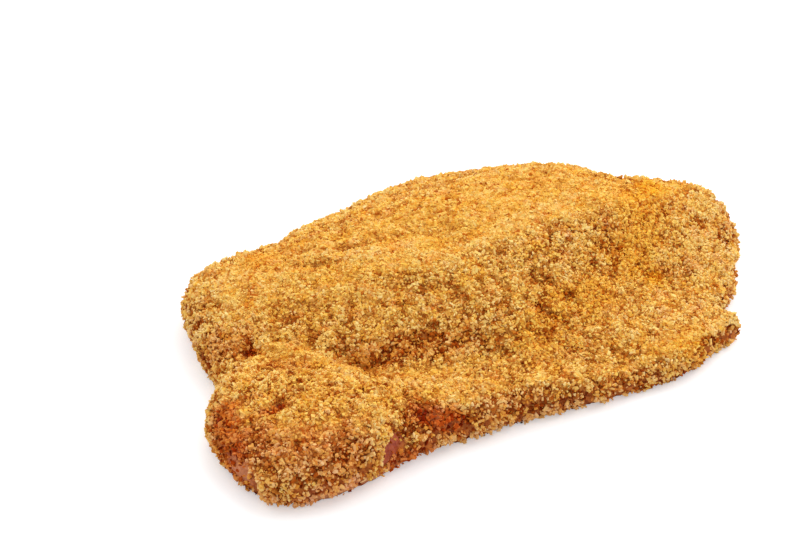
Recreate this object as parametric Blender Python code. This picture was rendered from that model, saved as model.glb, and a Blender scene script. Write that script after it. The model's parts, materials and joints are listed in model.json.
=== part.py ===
"""A raw crumbed schnitzel, lying flat: one slab of meat with a crumb coat, one closed body.

The slab is a unit sphere pressed into shape. Each bearing around the middle has a reach, which gives
the plan outline with its tail, tip and flap. Over that plan lies a crown: a thick muscle along the
back, a lower muscle at the front left, and a cleft between them with a fold along its lower lip.
The rim rounds over from the crown and tucks under to a flat base at Z = 0. Lengths here are in
millimetres, and the finished mesh is in metres with its longest side along X.
"""
import math

import bmesh
import bpy
from mathutils import Vector, noise

NAME = "schnitzel"
METRES = 0.001

# Mesh layout: bearings around, then rings from the middle of the crown down to the base.
AROUND = 120
CROWN_RINGS = 19
SHOULDER_RINGS = 5
TUCK_RINGS = 3
BASE_RINGS = 2
RINGS = CROWN_RINGS + SHOULDER_RINGS + TUCK_RINGS + BASE_RINGS + 1

# Plan outline, as (bearing in degrees, reach), anticlockwise from +X.
BACK_EDGE = ((3, 76.0), (17, 73.4), (32, 69.5), (48, 64.8), (64, 61.2), (82, 58.4), (100, 56.8))
SHOULDER = ((114, 58.0), (122, 65.6), (130, 74.8), (144, 72.8), (158, 71.2))
TAIL = ((165, 74.2), (173, 82.4), (182, 87.4), (191, 90.4), (198, 86.6), (206, 74.0))
HOLLOW = ((214, 59.6), (226, 51.6), (240, 47.4), (256, 47.6))
SKIRT = ((270, 50.8), (284, 57.8), (298, 68.4), (308, 75.0))
TIP = ((322, 79.4), (333, 86.4), (341, 93.4), (347, 95.2), (352, 87.6), (357, 79.6))
OUTLINE = BACK_EDGE + SHOULDER + TAIL + HOLLOW + SKIRT + TIP

# Nicks and tags on the outline, as (bearing in degrees, growth, half width in degrees).
TAIL_NICK = (163.0, -2.2, 3.0)
FLAP_NICK = (316.5, -4.5, 2.6)
FLAP_TAG = (311.5, 4.0, 2.6)
HOLLOW_TAG = (232.0, 1.0, 4.0)
EDGE_MARKS = (TAIL_NICK, FLAP_NICK, FLAP_TAG, HOLLOW_TAG)
MARK_FADE = 8

# The back muscle: (x, y, height) along its spine, and how its flanks fall away from it.
# Each front fall is (slope, curve, power): the left flank steepens going down, the right one
# flattens. The left one is given for each millimetre that the spine stands over the valley floor.
BACK_SPINE = ((-66, 38, 14.0), (-47, 30, 18.0), (-33, 20.5, 21.0), (-20, 12.5, 23.0), (-7, 3, 24.8),
              (5, -2, 25.5), (16, -4, 26.0), (31, -6, 26.5), (51, -12, 25.0), (68, -15, 20.5),
              (84, -19, 16.0), (96, -22, 9.0))
BACK_FALL = 0.0046
LEFT_FRONT_FALL = (0.025, 0.000008, 3)
RIGHT_FRONT_FALL = (0.74, -0.0068, 2)
VALLEY_FLOOR = 11.0
FLANK_CHANGE = (-5.0, 35.0)
SPINE_ROUNDING = 3.5

# The front muscle and the skirt that it runs out into, with their spine and falls.
FRONT_SPINE = ((-92, -8, 13.5), (-80, -8, 15.5), (-66, -10, 17.4), (-55, -18, 16.4), (-40, -29, 13.6),
               (-25, -36, 11.0), (-7, -42, 9.2), (10, -47, 8.0), (30, -53, 6.6), (50, -55, 5.0),
               (66, -50, 3.6))
FRONT_INNER_FALL = 0.0040
FRONT_OUTER_FALL = 0.0060
MUSCLE_BLEND = 5.0

# The cleft between the muscles, as (x, y, depth), and the fold on its lower lip, as (x, y, rise).
CLEFT = ((-84, 17, 3.0), (-70, 19, 3.6), (-59, 19, 4.0), (-51, 10, 3.4), (-47, -1, 3.6),
         (-38, -12, 3.6), (-24, -20, 2.6), (-6, -27, 1.2), (14, -34, 0.3), (30, -40, 0.0))
CLEFT_WIDTH = 6.0
FOLD = ((-66, 13, 0.0), (-60, 9, 1.2), (-56, 1, 1.6), (-52, -8, 1.4), (-46, -17, 0.8), (-38, -23, 0.0))
FOLD_WIDTH = 5.0

# Soft swells and hollows, as (x, y, radius, rise).
END_BLOCK = (66, -30, 12.0, 2.0)
RIGHT_HOLLOW = (44, -33, 13.0, -2.0)
BACK_TROUGH = (-12, 27, 12.0, -1.0)
SWELLS = (END_BLOCK, RIGHT_HOLLOW, BACK_TROUGH)

# Lumps left by pounding and folding, as (spacing, height), and how far apart their patterns lie.
LUMPS = ((26.0, 1.2), (11.0, 0.7))
LUMP_LAYER_GAP = 7.3

# The rim: (bearing, rounding width), and how its widest point and its tuck follow its height.
RIM = ((0, 9.0), (60, 11.0), (110, 12.0), (150, 11.0), (172, 13.0), (190, 16.0), (206, 14.0),
       (226, 8.0), (250, 5.0), (300, 4.0), (318, 4.0), (336, 7.0))
RIM_MOST = 1.1
RIM_SAMPLE_INSET = 9.0
BULGE_SHARE = 0.36
TUCK_SHARE = 0.26
TUCK_MOST = 4.0
THINNEST = 3.4

# The crown is settled a little, so that the cleft's lips run evenly from ring to ring.
SETTLE_ABOVE = 8.0
SETTLE_SHARE = 0.5
SETTLE_PASSES = 3

COAT_COLOUR = (0.62, 0.33, 0.09, 1.0)
COAT_ROUGHNESS = 0.85


def spline(before: float, start: float, end: float, after: float, t: float) -> float:
    """Return the Catmull-Rom value between start and end at t from 0 to 1."""
    slope_in = (end - before) / 2
    slope_out = (after - start) / 2
    t2 = t * t
    t3 = t2 * t
    return ((2 * t3 - 3 * t2 + 1) * start + (t3 - 2 * t2 + t) * slope_in
            + (3 * t2 - 2 * t3) * end + (t3 - t2) * slope_out)


def around(stations, bearing: float) -> float:
    """Return the value of a closed ring of (bearing, value) stations at a bearing in degrees."""
    count = len(stations)
    last = max((i for i in range(count) if stations[i][0] <= bearing), default=-1)
    stops = [stations[(last + step) % count] for step in (-1, 0, 1, 2)]
    gap = (stops[2][0] - stops[1][0]) % 360.0
    share = ((bearing - stops[1][0]) % 360.0) / gap
    return spline(stops[0][1], stops[1][1], stops[2][1], stops[3][1], share)


def edge_mark(bearing: float) -> float:
    """Return how far the nicks and tags move the outline at a bearing in degrees."""
    shift = 0.0
    for middle, growth, half_width in EDGE_MARKS:
        away = (bearing - middle + 180.0) % 360.0 - 180.0
        shift += growth * math.exp(-(away / half_width) ** 2)
    return shift


def along(stations, x: float) -> tuple:
    """Return (y, value) of a row of (x, y, value) stations at x, held level past both ends."""
    if x <= stations[0][0]:
        return stations[0][1:]
    for i in range(len(stations) - 1):
        start, end = stations[i], stations[i + 1]
        if x <= end[0]:
            before = stations[max(i - 1, 0)]
            after = stations[min(i + 2, len(stations) - 1)]
            t = (x - start[0]) / (end[0] - start[0])
            return tuple(spline(before[k], start[k], end[k], after[k], t) for k in (1, 2))
    return stations[-1][1:]


def crease(stations, width: float, x: float, y: float) -> float:
    """Return a soft ridge of the given width that follows the (x, y, height) stations."""
    best = 0.0
    for (x0, y0, h0), (x1, y1, h1) in zip(stations, stations[1:]):
        run = (x1 - x0) ** 2 + (y1 - y0) ** 2
        t = min(max(((x - x0) * (x1 - x0) + (y - y0) * (y1 - y0)) / run, 0.0), 1.0)
        off = math.hypot(x - x0 - t * (x1 - x0), y - y0 - t * (y1 - y0))
        best = max(best, (h0 + t * (h1 - h0)) * math.exp(-(off / width) ** 2))
    return best


def smooth_max(a: float, b: float, blend: float) -> float:
    """Return the larger of two heights, with the corner between them rounded."""
    overlap = max(blend - abs(a - b), 0.0) / blend
    return max(a, b) + overlap * overlap * blend / 4


def ease(start: float, end: float, value: float) -> float:
    """Return 0 before start and 1 after end, with a smooth step between them."""
    t = min(max((value - start) / (end - start), 0.0), 1.0)
    return t * t * (3 - 2 * t)


def back_muscle(x: float, y: float) -> float:
    """Return the height of the thick muscle along the back."""
    spine_y, top = along(BACK_SPINE, x)
    off = y - spine_y
    if off > 0:
        return top - BACK_FALL * off * off
    run = math.hypot(off, SPINE_ROUNDING) - SPINE_ROUNDING
    left, right = (slope * run + curve * run ** power
                   for slope, curve, power in (LEFT_FRONT_FALL, RIGHT_FRONT_FALL))
    left *= top - VALLEY_FLOOR
    change = ease(*FLANK_CHANGE, x)
    return top - left * (1 - change) - right * change


def front_muscle(x: float, y: float) -> float:
    """Return the height of the lower muscle at the front left."""
    spine_y, top = along(FRONT_SPINE, x)
    off = y - spine_y
    fall = FRONT_INNER_FALL if off > 0 else FRONT_OUTER_FALL
    return top - fall * off * off


def crown(x: float, y: float) -> float:
    """Return the height of the top surface before its rim rounds over."""
    height = smooth_max(back_muscle(x, y), front_muscle(x, y), MUSCLE_BLEND)
    height -= crease(CLEFT, CLEFT_WIDTH, x, y)
    height += crease(FOLD, FOLD_WIDTH, x, y)
    for middle_x, middle_y, radius, rise in SWELLS:
        height += rise * math.exp(-((x - middle_x) ** 2 + (y - middle_y) ** 2) / radius ** 2)
    for layer, (spacing, rise) in enumerate(LUMPS):
        height += rise * noise.noise(Vector((x / spacing, y / spacing, LUMP_LAYER_GAP * layer)))
    return max(height, THINNEST)


def rim_sizes(bearing: float, reach: float) -> tuple:
    """Return (rounding width, height of the widest point, tuck under) of the rim at a bearing."""
    inner = reach - RIM_SAMPLE_INSET
    angle = math.radians(bearing)
    height = crown(inner * math.cos(angle), inner * math.sin(angle))
    width = min(around(RIM, bearing), RIM_MOST * height)
    return width, BULGE_SHARE * height, min(TUCK_SHARE * height, TUCK_MOST)


def place(ring: int, bearing: float) -> tuple:
    """Return the (x, y, z) of the slab's surface for a ring, counted down from the crown."""
    plain_reach = around(OUTLINE, bearing)
    mark = edge_mark(bearing)
    reach = plain_reach + mark
    width, bulge, tuck = rim_sizes(bearing, plain_reach)
    angle = math.radians(bearing)
    if ring <= CROWN_RINGS:
        share = ring / CROWN_RINGS
        radius = (plain_reach - width) * share + mark * share ** MARK_FADE
        lift = 1.0
    elif ring <= CROWN_RINGS + SHOULDER_RINGS:
        turn = math.pi / 2 * (ring - CROWN_RINGS) / SHOULDER_RINGS
        radius = reach - width * (1 - math.sin(turn))
        lift = math.cos(turn)
    else:
        below = ring - CROWN_RINGS - SHOULDER_RINGS
        turn = math.pi / 2 * min(below / TUCK_RINGS, 1.0)
        foot = reach - tuck
        radius = reach - tuck * (1 - math.cos(turn))
        if below > TUCK_RINGS:
            radius = foot * (1 - (below - TUCK_RINGS) / (BASE_RINGS + 1))
        return radius * math.cos(angle), radius * math.sin(angle), bulge * (1 - math.sin(turn))
    x, y = radius * math.cos(angle), radius * math.sin(angle)
    return x, y, bulge + (crown(x, y) - bulge) * lift


def make_slab() -> bpy.types.Object:
    """Make the slab from a unit sphere, ring by ring, with its base flat on Z = 0."""
    mesh = bpy.data.meshes.new(NAME)
    shape = bmesh.new()
    bmesh.ops.create_uvsphere(shape, u_segments=AROUND, v_segments=RINGS, radius=1.0)
    crown_top = []
    for vertex in shape.verts:
        ring = round(math.acos(max(min(vertex.co.z, 1.0), -1.0)) / math.pi * RINGS)
        bearing = math.degrees(math.atan2(vertex.co.y, vertex.co.x)) % 360.0
        vertex.co = Vector(place(ring, bearing))
        if ring <= CROWN_RINGS and vertex.co.z > SETTLE_ABOVE:
            crown_top.append(vertex)
    low = [min(v.co[axis] for v in shape.verts) for axis in range(2)]
    high = [max(v.co[axis] for v in shape.verts) for axis in range(2)]
    middle = Vector(((low[0] + high[0]) / 2, (low[1] + high[1]) / 2, 0.0))
    for vertex in shape.verts:
        vertex.co = (vertex.co - middle) * METRES
    for _ in range(SETTLE_PASSES):
        bmesh.ops.smooth_vert(shape, verts=crown_top, factor=SETTLE_SHARE, use_axis_z=True)
    bmesh.ops.recalc_face_normals(shape, faces=shape.faces)
    shape.to_mesh(mesh)
    shape.free()
    mesh.shade_smooth()
    return bpy.data.objects.new(NAME, mesh)


def make_material() -> bpy.types.Material:
    """Make the crumb coat's golden-brown material."""
    material = bpy.data.materials.new("crumb_coat")
    material.use_nodes = True
    shader = material.node_tree.nodes["Principled BSDF"]
    shader.inputs["Base Color"].default_value = COAT_COLOUR
    shader.inputs["Roughness"].default_value = COAT_ROUGHNESS
    shader.inputs["Metallic"].default_value = 0.0
    return material


def main() -> None:
    """Clear the scene and build the schnitzel in its own collection."""
    for leftover in list(bpy.data.objects):
        bpy.data.objects.remove(leftover, do_unlink=True)
    group = bpy.data.collections.new(NAME)
    bpy.context.scene.collection.children.link(group)
    slab = make_slab()
    slab.data.materials.append(make_material())
    group.objects.link(slab)


main()
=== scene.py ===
"""The looks of a raw crumbed schnitzel: a moist meat core under tens of thousands of real crumbs.

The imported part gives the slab's shape. The core is a finer skin made from that shape, with the
folds, pits and thin places of its egg-wet coat pressed into it. Crumbs of several kinds are
scattered over the core at their true size, and the studio holds the floor, lights and camera.
"""

import json
import logging
import math
from collections.abc import Iterable
from dataclasses import dataclass, field, fields
from enum import Enum, IntEnum

import bpy
import numpy as np
from mathutils import Matrix, Vector, noise

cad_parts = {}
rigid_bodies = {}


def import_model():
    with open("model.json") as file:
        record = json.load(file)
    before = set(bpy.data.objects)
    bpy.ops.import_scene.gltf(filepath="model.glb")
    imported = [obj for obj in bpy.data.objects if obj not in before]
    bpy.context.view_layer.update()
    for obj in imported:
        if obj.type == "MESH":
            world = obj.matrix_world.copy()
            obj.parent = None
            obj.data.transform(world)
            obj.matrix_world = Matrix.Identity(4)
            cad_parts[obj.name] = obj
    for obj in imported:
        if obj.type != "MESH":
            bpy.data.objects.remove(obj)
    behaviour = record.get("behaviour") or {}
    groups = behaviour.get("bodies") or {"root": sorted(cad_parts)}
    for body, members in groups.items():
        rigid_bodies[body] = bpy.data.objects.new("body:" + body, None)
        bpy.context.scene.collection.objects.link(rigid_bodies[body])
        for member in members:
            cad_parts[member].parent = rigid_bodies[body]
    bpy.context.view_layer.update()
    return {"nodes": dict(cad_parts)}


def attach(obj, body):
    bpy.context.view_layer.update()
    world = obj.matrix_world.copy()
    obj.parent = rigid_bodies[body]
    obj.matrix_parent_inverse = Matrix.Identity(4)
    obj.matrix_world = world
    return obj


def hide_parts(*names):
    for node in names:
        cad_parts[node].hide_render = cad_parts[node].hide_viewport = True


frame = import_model()

LOG = logging.getLogger("schnitzel")
NODE = "schnitzel"
BODY = "root"
MM = 0.001
BAKE_MAP = "OFBake"
CELL_MAP = "chip_cell"
LAYER_STEPS = (17.3, 5.1, 9.7)

Colour = tuple[float, float, float]
Point = tuple[float, float, float]
Spot = tuple[float, float]
Socket = bpy.types.NodeSocket
Feed = Socket | float | int | bool | str | Colour | bpy.types.ID


class Layer(IntEnum):
    """The noise that each effect reads, so that no two effects share their lumps."""

    LUMPS = 0
    CLUMPS = 2
    EDGES = 4
    GRANULES = 7
    WORN = 11
    CRUMBS = 20


# ---------------------------------------------------------------- helpers


def deselect_all() -> None:
    """Empty object mode's selection, so that the next operator acts only on its own object."""
    bpy.ops.object.select_all(action="DESELECT")


def activate(piece: bpy.types.Object) -> None:
    """Select one object alone and make it active.

    Args:
        piece: The object to work on.
    """
    deselect_all()
    piece.select_set(True)
    bpy.context.view_layer.objects.active = piece


def apply_modifiers(piece: bpy.types.Object) -> None:
    """Apply every modifier of a piece, in order.

    Args:
        piece: The object whose modifiers become mesh.
    """
    activate(piece)
    for modifier in list(piece.modifiers):
        bpy.ops.object.modifier_apply(modifier=modifier.name)


def read_vertices(mesh: bpy.types.Mesh, what: str) -> np.ndarray:
    """Return the places or the normals of a mesh's vertices.

    Args:
        mesh: The mesh to read.
        what: "co" for places in metres, or "normal" for unit normals.

    Returns:
        One row of x, y, z for each vertex.
    """
    rows = np.empty(len(mesh.vertices) * 3, np.float32)
    mesh.vertices.foreach_get(what, rows)
    return rows.reshape(-1, 3).astype(float)


def move_vertices(mesh: bpy.types.Mesh, places: np.ndarray) -> None:
    """Give a mesh new vertex positions.

    Args:
        mesh: The mesh to change.
        places: One row of x, y, z in metres for each vertex.
    """
    mesh.vertices.foreach_set("co", places.astype(np.float32).ravel())
    mesh.update()


def store_mask(mesh: bpy.types.Mesh, name: str, values: np.ndarray) -> None:
    """Store one number a vertex as a named attribute that nodes can read.

    Args:
        mesh: The mesh to write.
        name: The attribute's name.
        values: One number for each vertex.
    """
    layer = mesh.attributes.get(name) or mesh.attributes.new(name, "FLOAT", "POINT")
    layer.data.foreach_set("value", values.astype(np.float32))


def read_mask(mesh: bpy.types.Mesh, name: str) -> np.ndarray:
    """Return a mask that store_mask wrote.

    Args:
        mesh: The mesh to read.
        name: The attribute's name.

    Returns:
        One number for each vertex.
    """
    values = np.empty(len(mesh.vertices), np.float32)
    mesh.attributes[name].data.foreach_get("value", values)
    return values.astype(float)


def read_corners(mesh: bpy.types.Mesh) -> np.ndarray:
    """Return which vertex stands at each corner of each face.

    Args:
        mesh: The mesh to read.

    Returns:
        One vertex number for each face corner.
    """
    corners = np.empty(len(mesh.loops), np.int32)
    mesh.loops.foreach_get("vertex_index", corners)
    return corners


def average_faces(mesh: bpy.types.Mesh, values: np.ndarray) -> tuple[np.ndarray, np.ndarray]:
    """Average one number a vertex over each face.

    Args:
        mesh: The mesh to read.
        values: One number for each vertex.

    Returns:
        One average for each face, and how many corners each face has.
    """
    starts = np.empty(len(mesh.polygons), np.int32)
    mesh.polygons.foreach_get("loop_start", starts)
    counts = np.diff(np.append(starts, len(mesh.loops)))
    return np.add.reduceat(values[read_corners(mesh)], starts) / counts, counts


def store_map(mesh: bpy.types.Mesh, name: str, flat: np.ndarray) -> None:
    """Store a flat layout of a mesh's faces.

    Args:
        mesh: The mesh to write.
        name: The layout's name.
        flat: One flat place for each face corner.
    """
    layer = mesh.uv_layers.get(name) or mesh.uv_layers.new(name=name)
    layer.uv.foreach_set("vector", flat.astype(np.float32).ravel())


def away_from_path(places: np.ndarray, path: np.ndarray) -> np.ndarray:
    """Return how far each place is from a path of straight runs.

    Args:
        places: Rows of coordinates.
        path: One or more rows of the same width.

    Returns:
        One distance for each place.
    """
    nearest = np.linalg.norm(places - path[0], axis=1)
    for start, end in zip(path, path[1:]):
        run = end - start
        share = np.clip((places - start) @ run / max(run @ run, 1e-12), 0.0, 1.0)
        off = np.linalg.norm(places - start - share[:, None] * run, axis=1)
        nearest = np.minimum(nearest, off)
    return nearest


def ripple(places: np.ndarray, spacing: float, layer: int) -> np.ndarray:
    """Return smooth noise at each place.

    Args:
        places: Rows of x, y, z in millimetres.
        spacing: Size of the noise's lumps in millimetres.
        layer: Which noise, as Layer counts them.

    Returns:
        One number from about -1 to 1 for each place.
    """
    shift = Vector([layer * step for step in LAYER_STEPS])
    return np.array([noise.noise(Vector(row) / spacing + shift) for row in places])


def ease(values: np.ndarray, low: float, high: float) -> np.ndarray:
    """Return a smooth step from 0 at low to 1 at high.

    Args:
        values: The numbers to step.
        low: Where the step starts.
        high: Where the step ends.

    Returns:
        Numbers from 0 to 1.
    """
    share = np.clip((values - low) / (high - low), 0.0, 1.0)
    return share * share * (3.0 - 2.0 * share)


def count_triangles(mesh: bpy.types.Mesh) -> int:
    """Return how many triangles a mesh's faces come to.

    Args:
        mesh: The mesh to count.

    Returns:
        The number of triangles.
    """
    return len(mesh.loops) - 2 * len(mesh.polygons)


def pick_socket(sockets: Iterable[Socket], name: str, kind: str) -> Socket:
    """Return the socket of a name and a kind, where a node has several of that name.

    Args:
        sockets: A node's inputs or outputs.
        name: The socket's name.
        kind: The socket's type.

    Returns:
        The socket.
    """
    return next(s for s in sockets if s.name == name and s.type == kind and s.enabled)


@dataclass
class Graph:
    """A node tree with short ways to add the nodes that the materials and scatters use."""

    tree: bpy.types.NodeTree

    def add(self, kind: str, settings: dict[str, object] | None = None,
            **inputs: Feed) -> bpy.types.Node:
        """Add a node, set its options and feed its inputs.

        Args:
            kind: The node's type.
            settings: Options such as operation, set before the inputs are fed.
            **inputs: Sockets or values, by input name with underscores for spaces.

        Returns:
            The node.
        """
        node = self.tree.nodes.new(kind)
        for key, value in (settings or {}).items():
            setattr(node, key, value)
        for key, value in inputs.items():
            name = key.replace("_", " ")
            self.feed(next(s for s in node.inputs if s.name == name and s.enabled), value)
        return node

    def feed(self, target: Socket, value: Feed) -> None:
        """Link a socket to an input, or set the input's own value.

        Args:
            target: The input socket.
            value: An output socket, a number, a colour or a vector.
        """
        if isinstance(value, bpy.types.NodeSocket):
            self.tree.links.new(value, target)
        elif target.type == "RGBA":
            target.default_value = (*value, 1.0)
        else:
            target.default_value = value

    def math(self, operation: str, *terms: Feed) -> Socket:
        """Return the result of a sum of sockets or numbers.

        Args:
            operation: The kind of sum.
            *terms: The sockets or numbers that it takes.

        Returns:
            The result's socket.
        """
        node = self.add("ShaderNodeMath", {"operation": operation})
        for target, term in zip(node.inputs, terms):
            self.feed(target, term)
        return node.outputs[0]

    def total(self, *terms: tuple[Feed, Feed]) -> Socket:
        """Return the sum of several values, each times its own weight.

        Args:
            *terms: Pairs of a value's socket and its weight.

        Returns:
            The sum's socket.
        """
        result = 0.0
        for value, weight in terms:
            result = self.math("MULTIPLY_ADD", value, weight, result)
        return result

    def span(self, value: Feed, low: float, high: float, to_low: float, to_high: float) -> Socket:
        """Return a value carried from one range onto another, and held inside it.

        Args:
            value: The value's socket.
            low: The start of the first range.
            high: The end of the first range.
            to_low: The start of the second range.
            to_high: The end of the second range.

        Returns:
            The result's socket.
        """
        return self.add("ShaderNodeMapRange", None, Value=value, From_Min=low, From_Max=high,
                        To_Min=to_low, To_Max=to_high).outputs[0]

    def blend(self, factor: Feed, under: Feed, over: Feed, way: str = "MIX") -> Socket:
        """Return a blend of two colours.

        Args:
            factor: The socket or number that chooses, 0 for under and 1 for over.
            under: The first colour or its socket.
            over: The second colour or its socket.
            way: How they blend, such as MIX or MULTIPLY.

        Returns:
            The blended colour's socket.
        """
        node = self.add("ShaderNodeMix", {"data_type": "RGBA", "blend_type": way})
        self.feed(node.inputs["Factor"], factor)
        self.feed(pick_socket(node.inputs, "A", "RGBA"), under)
        self.feed(pick_socket(node.inputs, "B", "RGBA"), over)
        return pick_socket(node.outputs, "Result", "RGBA")

    def blend_values(self, factor: Feed, under: Feed, over: Feed) -> Socket:
        """Return a blend of two numbers.

        Args:
            factor: The socket that chooses, 0 for under and 1 for over.
            under: The first number or its socket.
            over: The second number or its socket.

        Returns:
            The blended number's socket.
        """
        return self.add("ShaderNodeMapRange", None, Value=factor, To_Min=under,
                        To_Max=over).outputs[0]

    def noise(self, where: Socket, scale: float, detail: float,
              distortion: float = 0.0) -> bpy.types.Node:
        """Add a noise texture.

        Args:
            where: The coordinates' socket.
            scale: Lumps a metre.
            detail: How many finer layers it has.
            distortion: How far it is stirred.

        Returns:
            The texture's node.
        """
        return self.add("ShaderNodeTexNoise", None, Vector=where, Scale=scale, Detail=detail,
                        Distortion=distortion)

    def ramp(self, factor: Feed, *stops: tuple[float, Colour]) -> Socket:
        """Return a colour from a ramp.

        Args:
            factor: The socket that runs along the ramp.
            *stops: Positions from 0 to 1, each with a linear colour.

        Returns:
            The colour's socket.
        """
        node = self.add("ShaderNodeValToRGB", None, Fac=factor)
        elements = node.color_ramp.elements
        while len(elements) < len(stops):
            elements.new(0.5)
        for element, (position, colour) in zip(elements, stops):
            element.position = position
            element.color = (*colour, 1.0)
        return node.outputs["Color"]

    def mask(self, name: str) -> Socket:
        """Return the socket of a mask that the mesh stores.

        Args:
            name: The attribute's name.

        Returns:
            The mask's number socket.
        """
        return self.add("ShaderNodeAttribute", {"attribute_name": name}).outputs["Fac"]


# ---------------------------------------------------------------- the core


@dataclass(frozen=True)
class Crease:
    """A narrow line in the slab's top: pressed in where depth is positive, raised where negative.

    Points are (x, y) and all sizes are in millimetres.
    """

    path: tuple[Spot, ...]
    width: float
    depth: float


@dataclass(frozen=True)
class Place:
    """A stretch where the coat differs, along (x, y, z) points.

    It may be thin, wet, missing, rich in egg yolk, pale, darkened by painted shade, stained by the
    meat or loose, as shares from 0 to 1. Pale is partly paler crumbs and flour, partly painted
    light where a face turns to the lamps; the stain is partly meat juice, partly painted warm
    shade. The radius and the depth that it is pressed in are in millimetres.
    """

    path: tuple[Point, ...]
    radius: float
    thin: float = 0.0
    wet: float = 0.0
    bare: float = 0.0
    rich: float = 0.0
    # Partly paler crumbs and floured meat, partly painted light where a face turns to the lamps.
    pale: float = 0.0
    # Painted shade: how far the crumbs and paste here are darkened as if in shade.
    toast: float = 0.0
    # Partly meat stain, partly painted warm shade on the front wall and in the valley.
    blush: float = 0.0
    loose: float = 0.0
    press: float = 0.0


LOOKS = ("thin", "wet", "bare", "rich", "pale", "toast", "blush", "loose")

CREASES: tuple[Crease, ...] = (
    Crease(((-57, 20), (-54, 15), (-51.5, 8), (-49, 1), (-46, -6)), 1.7, -1.5),
    Crease(((-62, 14), (-60, 9), (-56.5, 5), (-54, 1)), 1.9, 1.3),
    Crease(((-43, 3), (-42, -4), (-38, -6), (-33, -5.5)), 2.0, 1.9),
    Crease(((-27, -8), (-22, -13), (-16, -19), (-12, -26)), 3.0, 1.0),
    Crease(((-31, 31), (-26, 28), (-16, 27), (-7, 23), (1.5, 15), (7, 11)), 2.2, 0.8),
    Crease(((-28, 30), (-27, 29)), 1.6, 1.1),
    Crease(((-25, 26), (-24, 25)), 1.6, 1.0),
    Crease(((-17, 29), (-15, 27)), 1.6, 1.3),
    Crease(((18, 9), (20, 9)), 1.8, 0.7),
    Crease(((12.4, -16.4), (15.4, -23), (16.5, -29)), 1.9, 1.1),
    Crease(((4, -21), (6.3, -26), (9.3, -30.6)), 1.9, 1.0),
    Crease(((66, 2), (61, -10), (58, -24), (52, -38)), 4.0, 0.7),
)

# The shares that darken the coat, mostly in the creases, the valley, pits and on the front wall,
# are painted shade; the pale shares are partly painted light.
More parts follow.
